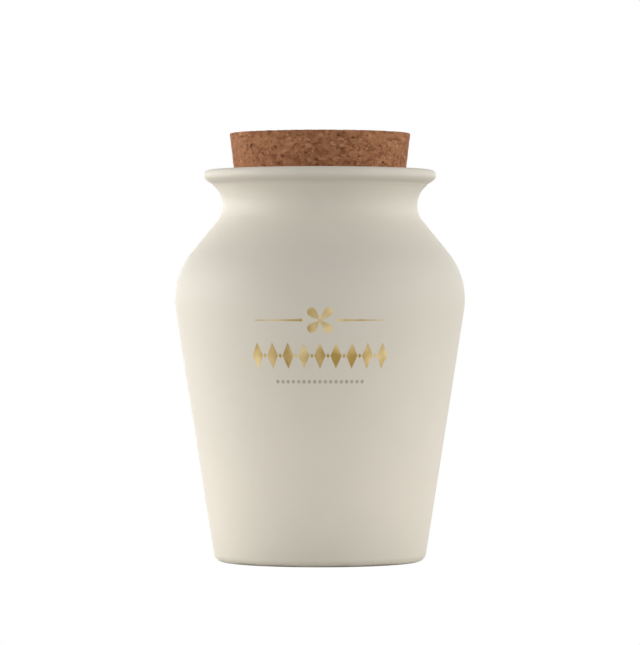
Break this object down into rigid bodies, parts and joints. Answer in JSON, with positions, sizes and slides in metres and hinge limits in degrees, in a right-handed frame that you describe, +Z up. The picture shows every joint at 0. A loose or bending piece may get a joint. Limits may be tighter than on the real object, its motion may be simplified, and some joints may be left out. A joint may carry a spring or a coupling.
{
  "type": "mustard crock",
  "caption": "Stoneware mustard crock with a leaning wall, round shoulder, hollow neck and flared rim, shut by a tapered cork that stands proud of the mouth.",
  "frame": {"origin": "centre of the foot, on the table that the crock stands on", "axes": "+Z up along the axis that the crock was turned on; -Y towards the printed front; +X to the right, seen from the front"},
  "size_m": [0.076, 0.076, 0.112],
  "materials": {
    "glazed_stoneware": "satin",
    "agglomerated_cork": "matte",
    "gold_print": "satin",
    "grey_print": "satin"
  },
  "bodies": {
    "root": {"crock": "glazed_stoneware", "cork_stopper": "agglomerated_cork"}
  },
  "joints": []
}
